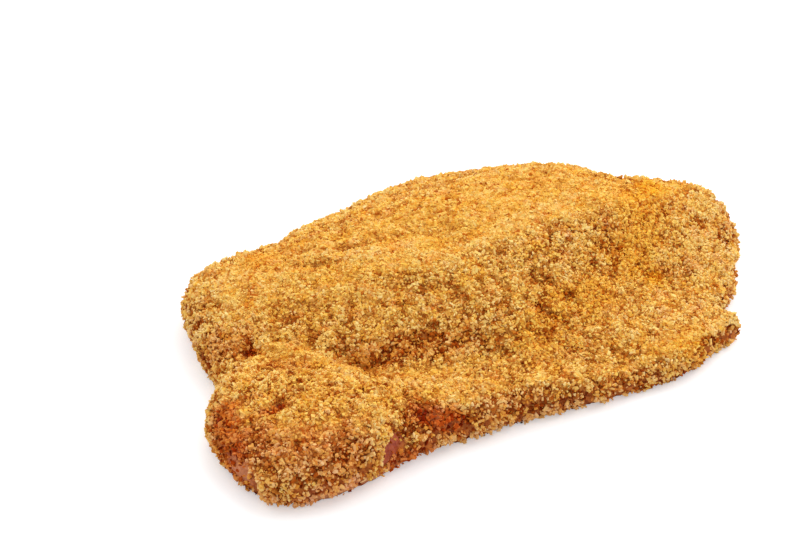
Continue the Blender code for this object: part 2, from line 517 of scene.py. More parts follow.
PLACES: tuple[Place, ...] = (
    Place(((-59, 21, 11.5),), 2.6, thin=0.35, wet=0.9, press=1.4),
    Place(((-60, 26, 13), (-63, 30, 11)), 5.0, wet=0.35, toast=0.3),
    Place(((-62, 9, 15), (-57, 6, 14)), 2.8, wet=0.4, toast=0.5),
    Place(((-75.5, -5.4, 16.2), (-73, -5.6, 16.5)), 2.1, thin=0.6, wet=0.95, press=0.9),
    Place(((-83, 5, 12), (-86.5, -2, 10.5), (-88, -6, 7)), 5.0, thin=0.35, wet=0.85),
    Place(((-89.4, -6, 6), (-89.9, -10.6, 6)), 3.6, thin=0.9, bare=0.85, pale=0.55),
    Place(((-84, -10, 10), (-79, -19, 9), (-70, -26, 10)), 8.0, thin=0.2, toast=0.42, blush=0.6),
    Place(((-84.5, 1, 12),), 2.4, toast=0.9, wet=1.0),
    Place(((-86, -17, 3), (-81, -24, 3), (-72, -29, 3)), 4.5, thin=0.2, pale=1.0, blush=0.8),
    Place(((-56, -31, 9.8), (-58.6, -31.4, 8.2)), 3.3, thin=0.85, bare=1.0, press=0.5),
    Place(((-60.8, -31.7, 5.6),), 2.2, thin=0.85, bare=0.95, press=0.3),
    Place(((-57, -31.7, 4), (-53.4, -31.5, 2.4), (-47, -33, 3)), 3.4, thin=0.6, wet=0.6, blush=0.7),
    Place(((-79, -27, 1), (-71.7, -30, 1.2), (-63.9, -31.1, 1.2), (-58.3, -31, 0.6)), 3.0,
          thin=0.95, bare=0.9, pale=0.65),
    Place(((-49.5, -29.6, 12.4),), 2.6, wet=0.6),
    Place(((-46, -30, 12), (-42, -33.2, 9), (-37, -35.3, 7.5)), 3.4,
          thin=0.6, wet=0.9, toast=0.9, blush=0.7, press=0.6),
    Place(((-45, -34, 2), (-24, -41, 2), (0, -50, 1.5)), 2.6, thin=0.35, pale=1.0, blush=0.5),
    Place(((-31, -37, 8), (-22.6, -40, 7), (-14.7, -43.4, 6.5)), 3.6,
          thin=0.3, toast=0.1, blush=0.4),
    Place(((-8, -47, 4), (13, -54.6, 3), (28, -58, 2)), 3.0, thin=0.2, toast=0.55),
    Place(((-42, 0, 12), (-40, -5, 11.3), (-34, -6, 13)), 4.0, wet=0.2, toast=0.25),
    Place(((-27, -8, 14), (-20, -14, 12.8), (-14, -20, 12.5)), 6.0, toast=0.3),
    Place(((28, -19.5, 18), (36, -23, 16)), 5.0, toast=0.45),
    Place(((12.4, -16.4, 20), (16, -27, 15)), 2.2, toast=0.5),
    Place(((4, -21, 18), (9, -30, 13)), 2.2, toast=0.5),
    # Yolk patches; their pale share is painted light.
    Place(((69, -9.5, 20), (66, -12, 20)), 5.5, rich=1.0, pale=0.3),
    Place(((60, -14, 21.5), (49, -23, 17.5), (41, -26, 15)), 8.5, rich=0.75, pale=0.3),
    Place(((45, -32.6, 11.5),), 4.2, rich=1.0, pale=0.6),
    Place(((25, -29.6, 13.7), (13, -26, 15.5), (-2, -29, 13)), 6.5, rich=0.65, toast=0.1),
    Place(((33.5, -59, 4.4), (29, -57, 7)), 4.5, rich=0.7),
    Place(((-67, -10, 16.7), (-62.7, -13.5, 16.6)), 4.0, rich=0.45, pale=0.3),
    Place(((-36, 44, 18),), 4.0, rich=0.6, wet=0.2),
    Place(((-21, 26.4, 21.8), (-9, 14.7, 23.8), (-5.8, 2.5, 24.8), (6, -1.5, 26), (22, -1.4, 26.5),
           (37.6, -3, 25.2)), 4.5, pale=0.55),
    # Painted light: the right end is made paler where it faces the key lamp.
    Place(((56, -27, 16), (57, -34, 12), (65.5, -32.5, 12.2), (57, -41, 8.4)), 8.0, pale=0.6),
    Place(((76, -20, 17), (80, -26, 12.7), (72, -35, 8.6), (60, -44.5, 6.8)), 5.0, pale=0.6),
    Place(((51, -58.5, 3), (44, -56, 6)), 4.0, pale=0.95),
    # Painted light: the back of the left end is made paler.
    Place(((-54.6, 47.3, 13.3), (-47, 41, 17.8), (-43.8, 32.2, 18.9)), 9.0, pale=0.4),
    Place(((-62.6, 31.9, 11.9), (-57, 32, 15.6)), 7.5, pale=0.7),
    Place(((-20.4, -28.7, 9.9), (-10.9, -32.6, 10.3), (0.8, -36.5, 9.4), (11, -42, 8.6)), 5.0,
          toast=0.3),
    Place(((-67, -29, 6),), 3.0, pale=1.0),
    Place(((-69, 0, 16), (-60, -12, 16.4), (-48, -18, 14.4)), 13.0, toast=0.22, loose=0.45),
    Place(((-36, -24, 10), (-18, -28, 9.8), (-3, -36, 9.5), (17, -44, 8.5)), 9.0,
          toast=0.12, loose=0.42),
    Place(((-25, 34, 20.4), (-14, 22, 22.7)), 8.0, toast=0.20, loose=0.25),
    Place(((-30, -7, 13.7), (-18, -17, 13)), 4.0, rich=0.30, toast=0.42, blush=0.30),
    Place(((58, -31, 13.6), (53, -39, 9.4)), 8.0, rich=0.20, loose=0.35),
    Place(((26, -42, 9.5), (38, -43, 8.9), (50, -48, 7.6)), 9.5, pale=0.25, loose=0.42),
    Place(((-37, -32, 10),), 4.0, pale=1.0),
)


@dataclass(frozen=True)
class CoreFinish:
    """The egg-wet paste of crumbs under the coat, and the raw meat that shows through it.

    Each look's colours run from its darkest to its palest. The shaded colours are painted shade,
    and the stained ones are partly meat stain, partly painted warm shade. Sizes are in metres.
    """

    paste: tuple[Colour, ...] = ((0.64, 0.25, 0.024), (0.84, 0.44, 0.060), (0.94, 0.60, 0.130))
    shaded: tuple[Colour, ...] = ((0.29, 0.058, 0.005), (0.58, 0.185, 0.020))
    wet: tuple[Colour, ...] = ((0.36, 0.055, 0.003), (0.66, 0.18, 0.012))
    meat: tuple[Colour, ...] = ((0.36, 0.052, 0.022), (0.66, 0.150, 0.055))
    stained: tuple[Colour, ...] = ((0.34, 0.055, 0.010), (0.74, 0.22, 0.050))
    floured: tuple[Colour, ...] = ((0.64, 0.24, 0.080), (0.88, 0.40, 0.165))
    paste_stops: tuple[float, ...] = (0.2, 0.5, 0.8)
    meat_stops: tuple[float, ...] = (0.35, 0.65)
    other_stops: tuple[float, ...] = (0.25, 0.75)
    grain: float = 0.0011
    grain_share: float = 0.55
    patches_a_metre: float = 260.0
    fibres_a_metre: float = 230.0
    flat_hollows: float = 0.3
    uneven_roughness: float = 0.1
    dry_roughness: float = 0.80
    wet_roughness: float = 0.36
    gloss: float = 0.30
    bump: float = 0.0005
    bump_strength: float = 0.7


@dataclass
class MeatCore:
    """The slab under its loose crumbs: shape, relief, thin places and material.

    Sizes are in millimetres. The top turns into the sides, and its crumbs lie loose, between
    two tilts in degrees. Each map is a corner and a width on the square that the skin is laid
    out on, which is one across.
    """

    name: str = "meat_core"
    merge_within: float = 0.01
    voxel: float = 0.665
    smoothing: int = 5
    smoothing_share: float = 0.5
    lumps: tuple[Spot, ...] = ((13.0, 0.55), (6.5, 0.60))
    clumps: tuple[Spot, ...] = ((3.4, 0.50), (2.0, 0.65))
    calm_top: float = 0.25
    grain: Spot = (1.25, 0.50)
    low_grain: float = 0.8
    low_folds: float = 0.25
    low_from: Spot = (-0.38, 0.34)
    worn_size: float = 2.6
    worn_from: Spot = (0.04, 0.26)
    worn_share: float = 0.92
    worn_top: float = 0.15
    worn_low: float = 0.4
    worn_stain: float = 0.16
    worn_steepness: float = 1.5
    # Partly meat stain at the foot, partly painted warm shade on every side.
    stained_sides: Spot = (0.40, 0.55)
    stained_foot: Spot = (1.0, 6.0)
    stained_from: Spot = (-0.5, 0.1)
    wobble: float = 0.5
    wobble_size: float = 3.2
    sides_from: Spot = (24.0, 84.0)
    loose_from: Spot = (6.0, 46.0)
    foot_height: float = 1.5
    wall_top: float = 12.0
    facing_up: Spot = (0.0, 0.5)
    facing_down: Spot = (0.6, 0.95)
    near_floor: Spot = (-1.5, -0.8)
    bare_smoothness: float = 0.8
    pressed: Spot = (0.10, 0.30)
    top_map: tuple[Spot, float] = ((0.01, 0.30), 0.98)
    underside_map: tuple[Spot, float] = ((0.01, 0.01), 0.42)
    finish: CoreFinish = field(default_factory=CoreFinish)

    def build(self) -> bpy.types.Object:
        """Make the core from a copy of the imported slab.

        Returns:
            The finished core, with its masks and its material.
        """
        core = self.copy_slab()
        self.remesh(core)
        self.press_relief(core)
        core.data.materials.clear()
        core.data.materials.append(self.material())
        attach(core, BODY)
        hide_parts(NODE)
        LOG.info("%s: %d triangles", self.name, count_triangles(core.data))
        return core

    def copy_slab(self) -> bpy.types.Object:
        """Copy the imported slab's mesh and merge its loose triangles.

        Returns:
            The copy, as one closed skin.
        """
        core = bpy.data.objects.new(self.name, frame["nodes"][NODE].data.copy())
        bpy.context.scene.collection.objects.link(core)
        activate(core)
        bpy.ops.object.mode_set(mode="EDIT")
        bpy.ops.mesh.select_all(action="SELECT")
        bpy.ops.mesh.remove_doubles(threshold=self.merge_within * MM)
        bpy.ops.object.mode_set(mode="OBJECT")
        return core

    def remesh(self, core: bpy.types.Object) -> None:
        """Turn the skin into small even faces and smooth away the facets.

        Args:
            core: The merged copy of the slab.
        """
        even = core.modifiers.new("even_faces", "REMESH")
        even.mode = "VOXEL"
        even.voxel_size = self.voxel * MM
        soft = core.modifiers.new("no_facets", "SMOOTH")
        soft.factor = self.smoothing_share
        soft.iterations = self.smoothing
        apply_modifiers(core)

    def press_relief(self, core: bpy.types.Object) -> None:
        """Press the creases, thin places, lumps and grain into the skin, and store its masks.

        Args:
            core: The smooth, finely meshed slab.
        """
        mesh = core.data
        normals = read_vertices(mesh, "normal")
        places = read_vertices(mesh, "co") / MM
        under = ease(-normals[:, 2], *self.facing_down) * ease(-places[:, 2], *self.near_floor)
        masks = self.mark_places(places)
        smooth = 1.0 - self.bare_smoothness * masks["bare"]
        shift = self.fold(places, normals)
        for index, (spacing, rise) in enumerate(self.lumps):
            shift += rise * smooth * ripple(places, spacing, Layer.LUMPS + index)
        clumps = sum(rise * ripple(places, spacing, Layer.CLUMPS + index)
                     for index, (spacing, rise) in enumerate(self.clumps))
        spacing, rise = self.grain
        granules = ripple(places, spacing, Layer.GRANULES)
        height = clumps + self.low_grain * rise * granules + self.low_folds * shift
        self.mark_by_tilt(masks, places, normals, height)
        masks["under"] = under
        calm = self.calm_top + (1.0 - self.calm_top) * masks["loose"]
        shift += smooth * calm * (clumps + rise * granules)
        free = np.clip(places[:, 2] / self.foot_height, 0.0, 1.0) * (1.0 - under)
        places += normals * (shift * free)[:, None]
        spare = np.maximum(self.wall_top - places[:, 2], 0.0) * (1.0 - under)
        flat = places + normals * spare[:, None]
        base, dimple = self.pressed
        pressed = np.maximum(base + dimple * granules, 0.0)
        places[:, 2] = np.where(under > 0.5, pressed, np.maximum(places[:, 2], 0.0))
        move_vertices(mesh, places * MM)
        for name, values in masks.items():
            store_mask(mesh, name, values)
        self.lay_out(mesh, flat[:, :2], under)
        mesh.shade_smooth()

    def fold(self, places: np.ndarray, normals: np.ndarray) -> np.ndarray:
        """Find how far the creases and the pressed places move each vertex.

        Args:
            places: Rows of x, y, z in millimetres.
            normals: Rows of unit normals.

        Returns:
            The move outwards, in millimetres, for each vertex.
        """
        up = ease(normals[:, 2], *self.facing_up)
        shift = np.zeros(len(places))
        for crease in CREASES:
            off = away_from_path(places[:, :2], np.array(crease.path, float))
            shift -= up * crease.depth * np.exp(-((off / crease.width) ** 2))
        for place in PLACES:
            shift -= place.press * self.share_of(place, places, 0.0)
        return shift

    def mark_by_tilt(self, masks: dict[str, np.ndarray], places: np.ndarray, normals: np.ndarray,
                     height: np.ndarray) -> None:
        """Mark the sides, the loose and low places, and where the sides are stained and worn.

        Args:
            masks: The masks by name, which are added to.
            places: Rows of x, y, z in millimetres.
            normals: Rows of unit normals.
            height: How high each vertex stands in the coat's relief, in millimetres.
        """
        tilt = np.degrees(np.arccos(np.clip(normals[:, 2], -1.0, 1.0)))
        masks["side"] = ease(tilt, *self.sides_from)
        masks["loose"] = np.maximum(masks["loose"], ease(tilt, *self.loose_from))
        masks["low"] = 1.0 - ease(height, *self.low_from)
        patches = ripple(places, self.worn_size, Layer.WORN) + self.worn_low * (masks["low"] - 0.5)
        # The stain on the sides is partly meat juice, strongest at the foot, partly painted warm
        # shade.
        base, foot = self.stained_sides
        stained = masks["side"] * (foot - (foot - base) * ease(places[:, 2], *self.stained_foot))
        masks["blush"] = np.maximum(masks["blush"], stained * ease(patches, *self.stained_from))
        patches += self.worn_stain * masks["blush"]
        worn = self.worn_share * ease(patches, *self.worn_from)
        worn *= np.maximum(masks["side"] ** self.worn_steepness, self.worn_top * masks["loose"])
        masks["thin"] = np.maximum(masks["thin"], worn)

    def lay_out(self, mesh: bpy.types.Mesh, flat: np.ndarray, under: np.ndarray) -> None:
        """Lay the skin out flat: the top with its walls turned out, and the underside beside it.

        Args:
            mesh: The core's mesh.
            flat: One row of flat coordinates for each vertex, in millimetres.
            under: One share for each vertex, 1 on the underside.
        """
        share, counts = average_faces(mesh, under)
        below = np.repeat(share > 0.5, counts)
        places = flat[read_corners(mesh)]
        for chosen, (corner, width) in ((~below, self.top_map), (below, self.underside_map)):
            part = places[chosen]
            low = part.min(axis=0)
            places[chosen] = np.array(corner) + (part - low) * width / (part[:, 0].max() - low[0])
        store_map(mesh, BAKE_MAP, places)

    def mark_places(self, places: np.ndarray) -> dict[str, np.ndarray]:
        """Find how the coat looks at each vertex.

        Args:
            places: Rows of x, y, z in millimetres.

        Returns:
            The masks by name, with one share for each vertex.
        """
        masks = {name: np.zeros(len(places)) for name in LOOKS}
        wobble = self.wobble * ripple(places, self.wobble_size, Layer.EDGES)
        for place in PLACES:
            share = self.share_of(place, places, wobble)
            for name, values in masks.items():
                np.maximum(values, getattr(place, name) * share, out=values)
        return masks

    @staticmethod
    def share_of(place: Place, places: np.ndarray, wobble: np.ndarray | float) -> np.ndarray:
        """Return how far each vertex belongs to a place, from 0 to 1.

        Args:
            place: The place.
            places: Rows of x, y, z in millimetres.
            wobble: How far noise moves the place's edge, as a share of its radius.

        Returns:
            One share for each vertex.
        """
        off = away_from_path(places, np.array(place.path, float)) * (1.0 + wobble)
        return np.exp(-((off / place.radius) ** 4))

    def material(self) -> bpy.types.Material:
        """Make the paste and raw meat material, driven by the core's masks.

        Returns:
            The finished material.
        """
        finish = self.finish
        material = bpy.data.materials.new("egg_paste_over_meat")
        material.use_nodes = True
        graph = Graph(material.node_tree)
        shader = material.node_tree.nodes["Principled BSDF"]
        where = graph.add("ShaderNodeTexCoord").outputs["Object"]
        cells = graph.add("ShaderNodeTexVoronoi", None, Vector=where, Scale=1.0 / finish.grain,
                          Randomness=1.0)
        tone = graph.add("ShaderNodeSeparateColor", None, Color=cells.outputs["Color"]).outputs[0]
        patches = graph.noise(where, finish.patches_a_metre, 3.0).outputs["Fac"]
        fibre = graph.noise(where, finish.fibres_a_metre, 4.0, 1.6).outputs["Fac"]
        mottle = graph.math("ADD", graph.math("MULTIPLY", tone, finish.grain_share),
                            graph.math("MULTIPLY", patches, 1.0 - finish.grain_share))
        paste = graph.ramp(mottle, *zip(finish.paste_stops, finish.paste))
        meat = graph.ramp(fibre, *zip(finish.meat_stops, finish.meat))
        shaded, wet, stained, floured = (
            graph.ramp(mottle, *zip(finish.other_stops, colours))
            for colours in (finish.shaded, finish.wet, finish.stained, finish.floured))
        # Painted shade: the sides, the low places and the places darkened as shade take the shaded
        # colours.
        depth = graph.span(graph.mask("loose"), 0.0, 1.0, finish.flat_hollows, 1.0)
        hollow = graph.math("MULTIPLY", graph.mask("low"), depth)
        painted_shade_share = graph.math("MAXIMUM", graph.mask("side"), hollow)
        painted_shade_share = graph.math("MAXIMUM", painted_shade_share, graph.mask("toast"))
        colour = graph.blend(painted_shade_share, paste, shaded)
        # The stained colours are partly meat stain, partly painted warm shade.
        colour = graph.blend(graph.mask("blush"), colour, stained)
        colour = graph.blend(graph.mask("wet"), colour, wet)
        flesh = graph.blend(graph.mask("pale"), meat, floured)
        colour = graph.blend(graph.mask("bare"), colour, flesh)
        graph.feed(shader.inputs["Base Color"], colour)
        moist = graph.math("MAXIMUM", graph.mask("wet"), graph.mask("bare"))
        rough = graph.span(moist, 0.0, 1.0, finish.dry_roughness, finish.wet_roughness)
        rough = graph.math("MULTIPLY_ADD", tone, finish.uneven_roughness, rough)
        graph.feed(shader.inputs["Roughness"], rough)
        shader.inputs["Specular IOR Level"].default_value = finish.gloss
        bump = graph.add("ShaderNodeBump", None, Strength=finish.bump_strength,
                         Distance=finish.bump, Height=cells.outputs["Distance"])
        bump.invert = True
        graph.feed(shader.inputs["Normal"], bump.outputs["Normal"])
        return material


# ---------------------------------------------------------------- the crumbs


class ChipForm(Enum):
    """The form that a crumb is chipped from."""

    CHUNK = "chunk"
    BLOCK = "block"
    GRIT = "grit"


@dataclass(frozen=True)
class CrumbFinish:
    """One kind of crumb's colours, from its darkest to its palest, and how its surface varies.

    The shares from each to paling say how far that effect moves a crumb along its colours.
    """

    dark: Colour
    middle: Colour
    light: Colour
    wet_tint: Colour = (0.84, 0.36, 0.12)
    rich_tint: Colour = (1.0, 0.82, 0.26)
    blush_tint: Colour = (0.90, 0.54, 0.72)
    roughness: float = 0.85
    wet_roughness: float = 0.4
    gloss: float = 0.04
    each: float = 1.3
    patches: float = 0.21
    mottle: float = 0.10
    # Painted shade: the next three shares darken a crumb on the sides, in low places and in the
    # places darkened as shade.
    sides: float = 0.42
    hollows: float = 0.80
    toasting: float = 0.45
    # Paling is partly painted light, as the pale places are.
    paling: float = 0.35


GROUP_FIELDS = tuple(item for item in fields(CrumbFinish) if item.name != "gloss")


@dataclass(frozen=True)
class CrumbKind:
    """One kind of crumb: how many, how big, how high they sit, where they gather and how they look.

    Sizes are across, and lifts are above the core, in millimetres. Likings are for slopes, low
    places and pale places, where 0 means no preference. On slopes the crumbs stand proud by so
    much more, and on top they lie flat but for the lean, a share of any turn.
    """

    name: str
    count: int
    size: Spot
    lift: Spot
    seed: int
    finish: CrumbFinish
    form: ChipForm = ChipForm.BLOCK
    likes_slopes: float = 0.0
    likes_low: float = 0.0
    likes_pale: float = 0.0
    clump: float = 0.5
    proud: float = 0.25
    lean: float = 0.3


# Darker crumbs gather on slopes and in low places and pale ones keep to the top: partly the crumbs'
# own spread, partly painted shade.
KINDS: tuple[CrumbKind, ...] = (
    CrumbKind("crumbs_amber", 16000, (0.75, 1.6), (-0.30, -0.05), 11,
              CrumbFinish((0.22, 0.036, 0.003), (0.64, 0.19, 0.020), (0.88, 0.43, 0.080),
                          sides=0.50, each=0.9),
              likes_slopes=0.75, likes_low=0.6, proud=0.0),
    CrumbKind("crumbs_toasted", 16000, (0.65, 1.55), (-0.22, 0.02), 23,
              CrumbFinish((0.38, 0.076, 0.007), (0.89, 0.465, 0.066), (0.96, 0.61, 0.165)),
              likes_slopes=0.2, likes_low=0.2, proud=0.2),
    CrumbKind("crumbs_golden", 16000, (0.65, 1.5), (-0.12, 0.12), 37,
              CrumbFinish((0.56, 0.155, 0.015), (0.96, 0.61, 0.122), (0.98, 0.71, 0.235),
                          sides=0.20),
              likes_slopes=-0.1, likes_low=-0.5, proud=0.5),
    CrumbKind("crumbs_pale", 9600, (0.65, 1.6), (-0.05, 0.18), 41,
              CrumbFinish((0.78, 0.33, 0.052), (0.97, 0.65, 0.180), (0.98, 0.73, 0.30),
                          sides=0.06, hollows=0.3),
              form=ChipForm.CHUNK, likes_low=-0.7, likes_pale=2.0, proud=0.5),
    CrumbKind("crumbs_fine", 24000, (0.35, 0.85), (0.0, 0.18), 53,
              CrumbFinish((0.40, 0.090, 0.008), (0.93, 0.56, 0.098), (0.98, 0.68, 0.235)),
              form=ChipForm.GRIT, likes_slopes=-0.3, proud=0.2),
)


@dataclass
class ChipSet:
    """A handful of crumb shapes, each chipped from a form a millimetre across."""

    form: ChipForm
    shapes: int = 9
    chunk_radius: float = 0.5
    block_side: float = 0.74
    grit_radius: float = 0.56
    grit_length: float = 0.84
    grit_sides: int = 3
    rough: float = 0.24
    shape_step: float = 2.4
    middle_size: Point = (1.30, 0.84, 0.58)
    size_change: Point = (0.30, -0.10, -0.14)
    cell_fill: float = 0.42

    def build(self) -> bpy.types.Collection:
        """Model the shapes in a collection of their own.

        Returns:
            The collection, which scatter nodes pick from.
        """
        group = bpy.data.collections.new(f"chips_{self.form.value}")
        bpy.context.scene.collection.children.link(group)
        for index in range(self.shapes):
            chip = self.chip(index)
            for old in list(chip.users_collection):
                old.objects.unlink(chip)
            group.objects.link(chip)
        return group

    def chip(self, index: int) -> bpy.types.Object:
        """Model one shape.

        Args:
            index: Which shape of the set, which seeds its form.

        Returns:
            The shape, at the origin.
        """
        deselect_all()
        if self.form is ChipForm.CHUNK:
            bpy.ops.mesh.primitive_ico_sphere_add(subdivisions=1, radius=self.chunk_radius * MM)
        elif self.form is ChipForm.BLOCK:
            bpy.ops.mesh.primitive_cube_add(size=self.block_side * MM)
        else:
            bpy.ops.mesh.primitive_cylinder_add(
                vertices=self.grit_sides, radius=self.grit_radius * MM, depth=self.grit_length * MM)
        chip = bpy.context.object
        chip.name = f"chip_{self.form.value}_{index}"
        change = math.sin(index * self.shape_step)
        stretch = [size + step * change for size, step in zip(self.middle_size, self.size_change)]
        bpy.ops.object.mode_set(mode="EDIT")
        bpy.ops.mesh.select_all(action="SELECT")
        bpy.ops.transform.resize(value=stretch)
        bpy.ops.transform.vertex_random(offset=self.rough * MM, seed=index + 1)
        bpy.ops.object.mode_set(mode="OBJECT")
        self.lay_out(chip.data)
        return chip

    def lay_out(self, mesh: bpy.types.Mesh) -> None:
        """Give a shape a flat layout inside one unit cell, seen from above.

        Args:
            mesh: The shape's mesh.
        """
        for layer in list(mesh.uv_layers):
            mesh.uv_layers.remove(layer)
        places = read_vertices(mesh, "co")
        flat = 0.5 + self.cell_fill * places[:, :2] / np.abs(places[:, :2]).max()
        store_map(mesh, CELL_MAP, flat[read_corners(mesh)])


@dataclass
class CrumbCoat:
    """All the loose crumbs on the core, one piece for each kind."""

    core: bpy.types.Object
    kinds: tuple[CrumbKind, ...] = KINDS
    clump_size: float = 2.4
    clump_depth: float = 1.6
    shed: float = 0.97
    most: float = 3.0

    def build(self) -> list[bpy.types.Object]:
        """Scatter every kind over the core.

        Returns:
            The pieces, one for each kind.
        """
        chips = {form: ChipSet(form).build() for form in ChipForm}
        pieces = [self.scatter(kind, chips[kind.form]) for kind in self.kinds]
        for group in chips.values():
            for chip in list(group.objects):
                bpy.data.objects.remove(chip, do_unlink=True)
            bpy.data.collections.remove(group)
        return pieces

    def scatter(self, kind: CrumbKind, chips: bpy.types.Collection) -> bpy.types.Object:
        """Make one piece of crumbs.

        Args:
            kind: The kind of crumb.
            chips: The shapes to pick from.

        Returns:
            The finished piece.
        """
        piece = bpy.data.objects.new(kind.name, self.core.data.copy())
        bpy.context.scene.collection.objects.link(piece)
        piece.data.materials.clear()
        density = self.spread(kind, piece.data)
        scatter = piece.modifiers.new("scatter", "NODES")
        scatter.node_group = ScatterNodes(kind, chips, density, CrumbSkin().material(kind)).build()
        apply_modifiers(piece)
        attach(piece, BODY)
        LOG.info("%s: %d triangles", kind.name, count_triangles(piece.data))
        return piece

    def spread(self, kind: CrumbKind, mesh: bpy.types.Mesh) -> float:
        """Store where a kind of crumb gathers, and find how dense it is there.

        Args:
            kind: The kind of crumb.
            mesh: A copy of the core's mesh, which gets the mask "spread".

        Returns:
            Crumbs a square metre where the mask is 1.
        """
        places = read_vertices(mesh, "co") / MM
        names = ("thin", "bare", "loose", "low", "under", "pale")
        masks = {name: read_mask(mesh, name) for name in names}
        weight = 1.0 + kind.likes_slopes * (2.0 * masks["loose"] - 1.0)
        weight *= 1.0 + kind.likes_low * (2.0 * masks["low"] - 1.0)
        clumps = ripple(places, self.clump_size, Layer.CRUMBS + kind.seed)
        weight *= 1.0 + kind.clump * self.clump_depth * clumps
        weight *= 1.0 + kind.likes_pale * masks["pale"]
        weight *= 1.0 - np.maximum(masks["thin"], self.shed * masks["bare"])
        weight *= 1.0 - masks["under"]
        weight = np.clip(weight, 0.0, self.most)
        store_mask(mesh, "spread", weight)
        areas = np.empty(len(mesh.polygons), np.float32)
        mesh.polygons.foreach_get("area", areas)
        return kind.count / float(np.sum(areas * average_faces(mesh, weight)[0]))


class Draw(IntEnum):
    """What each crumb draws by chance, apart from its other draws."""

    LIFT = 1
    TURN = 2
    SIZE = 3
    TONE = 5


